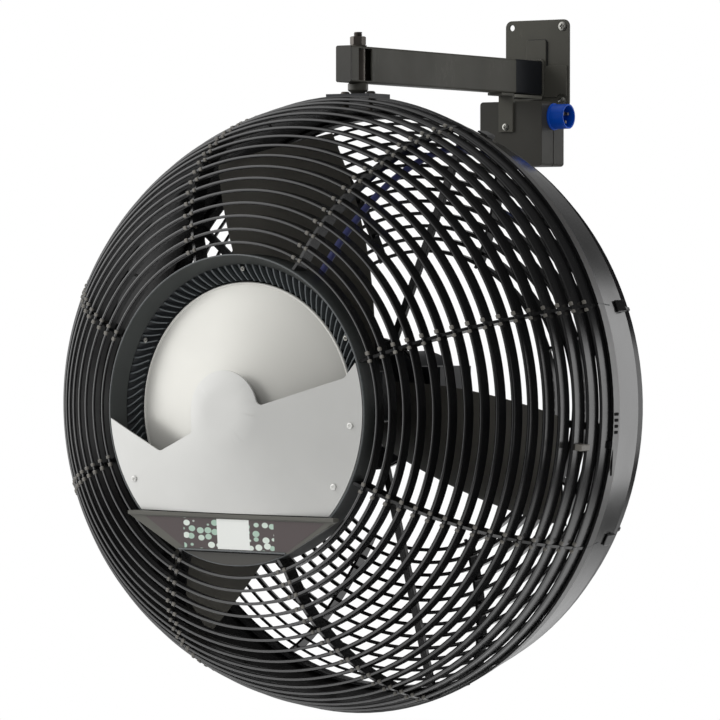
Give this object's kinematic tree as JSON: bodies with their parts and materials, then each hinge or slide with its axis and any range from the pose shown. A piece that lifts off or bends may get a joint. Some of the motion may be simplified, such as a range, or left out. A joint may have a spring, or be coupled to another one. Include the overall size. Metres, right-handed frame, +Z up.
{
  "type": "wall-mounted humidifying fan",
  "caption": "Wall-arm humidifying greenhouse fan with a louvred dome guard, a spinning water disc behind a silver shield, and a swivelling head.",
  "frame": {"origin": "centre of the wall plate's back face", "axes": "+Z up, +Y into the wall; the fan blows towards -Y"},
  "size_m": [0.844, 0.804, 0.9725],
  "materials": {
    "arm_paint": "satin powder coat",
    "cap_plastic": "matt",
    "box_plastic": "satin",
    "rubber": "matt",
    "zinc_steel": "zinc plated",
    "collar_steel": "satin",
    "board_green": "satin",
    "inlet_blue": "satin",
    "pin_brass": "plain",
    "guard_black": "gloss",
    "rim_black": "gloss",
    "motor_grey": "satin",
    "core_steel": "plain",
    "bezel_grey": "satin",
    "vane_black": "satin",
    "shield_silver": "satin",
    "hose_blue": "satin"
  },
  "bodies": {
    "wall_bracket": {"wall_plate": "arm_paint", "arm_flange": "arm_paint", "arm_knuckle": "arm_paint", "arm_tube": "arm_paint", "arm_cap": "cap_plastic", "pivot_bush": "cap_plastic", "control_box_base": "box_plastic", "control_box_lid": "box_plastic", "box_seal": "rubber", "box_screws": "zinc_steel", "control_board": "board_green", "box_strap": "arm_paint", "strap_screw": "zinc_steel", "inlet_socket": "inlet_blue", "inlet_pins": "pin_brass"},
    "fan_head": {"pivot_washer": "zinc_steel", "pivot_nut": "zinc_steel", "pivot_bolt": "zinc_steel", "swivel_collar": "collar_steel", "saddle": "arm_paint", "saddle_bolts": "zinc_steel", "saddle_nuts": "zinc_steel", "rim_band": "rim_black", "rim_clips": "collar_steel", "front_guard_segment_1": "guard_black", "front_guard_segment_2": "guard_black", "front_guard_segment_3": "guard_black", "front_guard_segment_4": "guard_black", "front_guard_segment_5": "guard_black", "front_guard_segment_6": "guard_black", "front_guard_segment_7": "guard_black", "front_guard_segment_8": "guard_black", "rear_guard": "guard_black", "motor_spider": "motor_grey", "motor_housing": "motor_grey", "motor_stator": "core_steel", "motor_front_bell": "motor_grey", "motor_back_bell": "motor_grey", "bearings": "core_steel", "motor_screws": "zinc_steel", "nose_bezel": "bezel_grey", "atomiser_ring": "vane_black", "nose_housing": "vane_black", "front_shield": "shield_silver", "shield_posts": "bezel_grey", "shield_screws": "zinc_steel", "drip_tray": "arm_paint", "valve_box": "box_plastic", "water_hose": "hose_blue", "nose_fitting": "pin_brass", "rim_fitting": "pin_brass"},
    "rotor": {"motor_shaft": "core_steel", "motor_core": "core_steel", "impeller_hub": "guard_black", "blade_1": "guard_black", "blade_2": "guard_black", "blade_3": "guard_black", "disc_carrier": "core_steel", "atomiser_disc": "shield_silver", "disc_nut": "zinc_steel"}
  },
  "joints": [
    {"name": "head_swivel", "type": "hinge", "parent": "wall_bracket", "child": "fan_head", "pos_m": [0, -0.481, 0], "axis": [0, 0, 1], "range_deg": [-90, 90]},
    {"name": "rotor_spin", "type": "hinge", "parent": "fan_head", "child": "rotor", "pos_m": [0, -0.408, -0.485], "axis": [0, -1, 0], "continuous": true}
  ]
}
